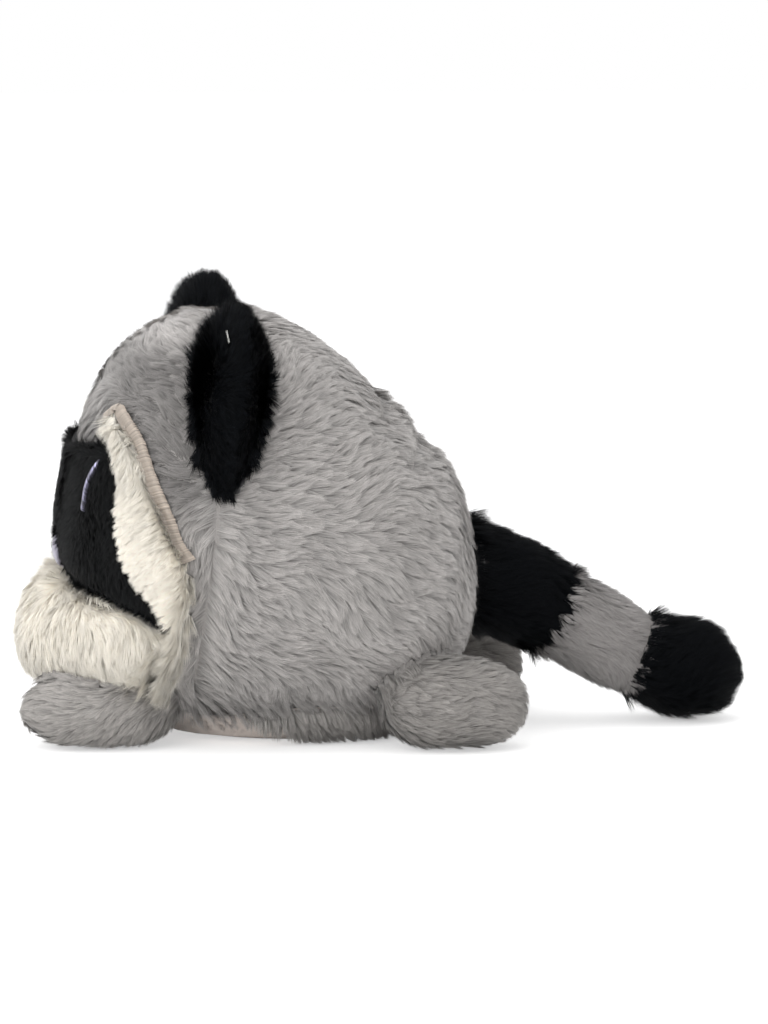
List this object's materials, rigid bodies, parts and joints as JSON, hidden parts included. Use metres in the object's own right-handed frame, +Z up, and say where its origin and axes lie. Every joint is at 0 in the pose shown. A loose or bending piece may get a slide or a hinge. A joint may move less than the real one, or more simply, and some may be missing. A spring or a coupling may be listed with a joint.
{
  "type": "plush raccoon",
  "caption": "Small round stuffed raccoon lying on its feet and belly, with a banded tail, sewn-in round ears and an embroidered black and cream face.",
  "frame": {"origin": "on the floor, in the flat underside of the belly panel, under the middle of the body", "axes": "+Z up, +Y towards the tail, the raccoon faces -Y and its left side is +X"},
  "size_m": [0.1641, 0.2442, 0.149],
  "materials": {
    "grey_plush": "short polyester pile, lying flat",
    "cream_plush": "fluffy polyester pile",
    "black_plush": "dense polyester pile",
    "beige_tricot": "smooth knitted polyester",
    "beige_thread": "glossy embroidery thread",
    "lavender_thread": "glossy embroidery thread"
  },
  "bodies": {
    "root": {"body": "grey_plush", "front_foot_left": "grey_plush", "front_foot_right": "grey_plush", "hind_foot_left": "grey_plush", "hind_foot_right": "grey_plush", "tail_middle_band": "grey_plush", "muzzle": "cream_plush", "brow_patch_left": "cream_plush", "brow_patch_right": "cream_plush", "face_mask": "black_plush", "ear_left": "black_plush", "ear_right": "black_plush", "tail_root_band": "black_plush", "tail_tip": "black_plush", "base_panel": "beige_tricot", "brow_stitching_left": "beige_thread", "brow_stitching_right": "beige_thread", "nose_embroidery": "lavender_thread", "eye_embroidery_left": "lavender_thread", "eye_embroidery_right": "lavender_thread"}
  },
  "joints": []
}
